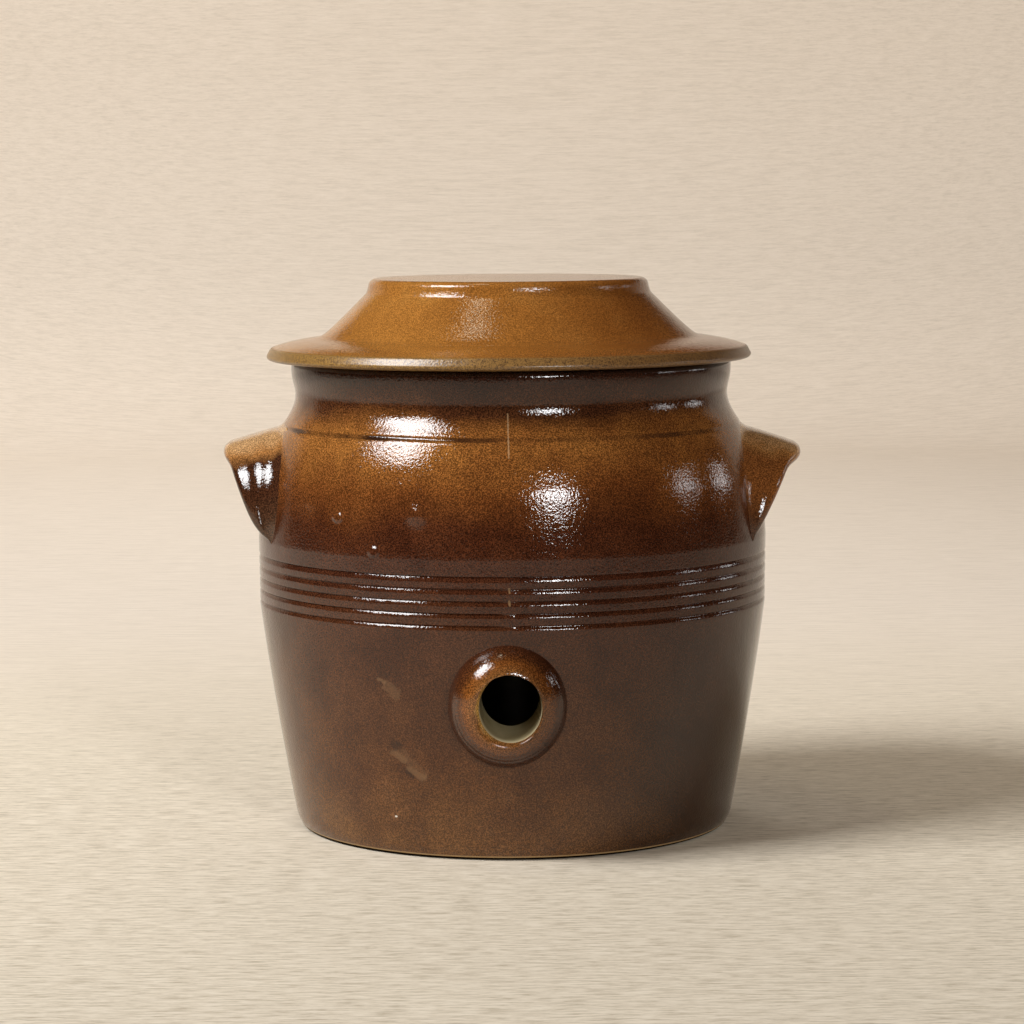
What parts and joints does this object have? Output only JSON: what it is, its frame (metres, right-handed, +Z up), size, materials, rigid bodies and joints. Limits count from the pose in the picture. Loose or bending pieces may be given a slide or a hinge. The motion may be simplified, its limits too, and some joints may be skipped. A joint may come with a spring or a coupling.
{
  "type": "stoneware crock with lid and tap hole",
  "caption": "Round glazed stoneware crock with a reeded belly, two hood-shaped ear lugs, a collared tap hole low on the front and a loose hat-shaped lid.",
  "frame": {"origin": "centre of the flat base, on the crock's axis", "axes": "+Z up through the lid, -Y towards the tap hole, +X to the right lug as seen from the tap side"},
  "size_m": [0.2554, 0.2353, 0.243],
  "materials": {
    "brown_glaze": "glossy brown salt-type glaze with a fine orange-peel surface",
    "amber_glaze": "glossy amber-brown glaze, breaking lighter on the edges",
    "ochre_glaze": "glossy ochre glaze with fine dark specks"
  },
  "bodies": {
    "crock": {"crock_body": "brown_glaze", "handle_left": "brown_glaze", "handle_right": "brown_glaze", "tap_collar": "amber_glaze"},
    "lid": {"lid": "ochre_glaze"}
  },
  "joints": [
    {"name": "lid_lift", "type": "slide", "parent": "crock", "child": "lid", "axis": [0, 0, 1], "range_m": [0, 0.12]}
  ]
}
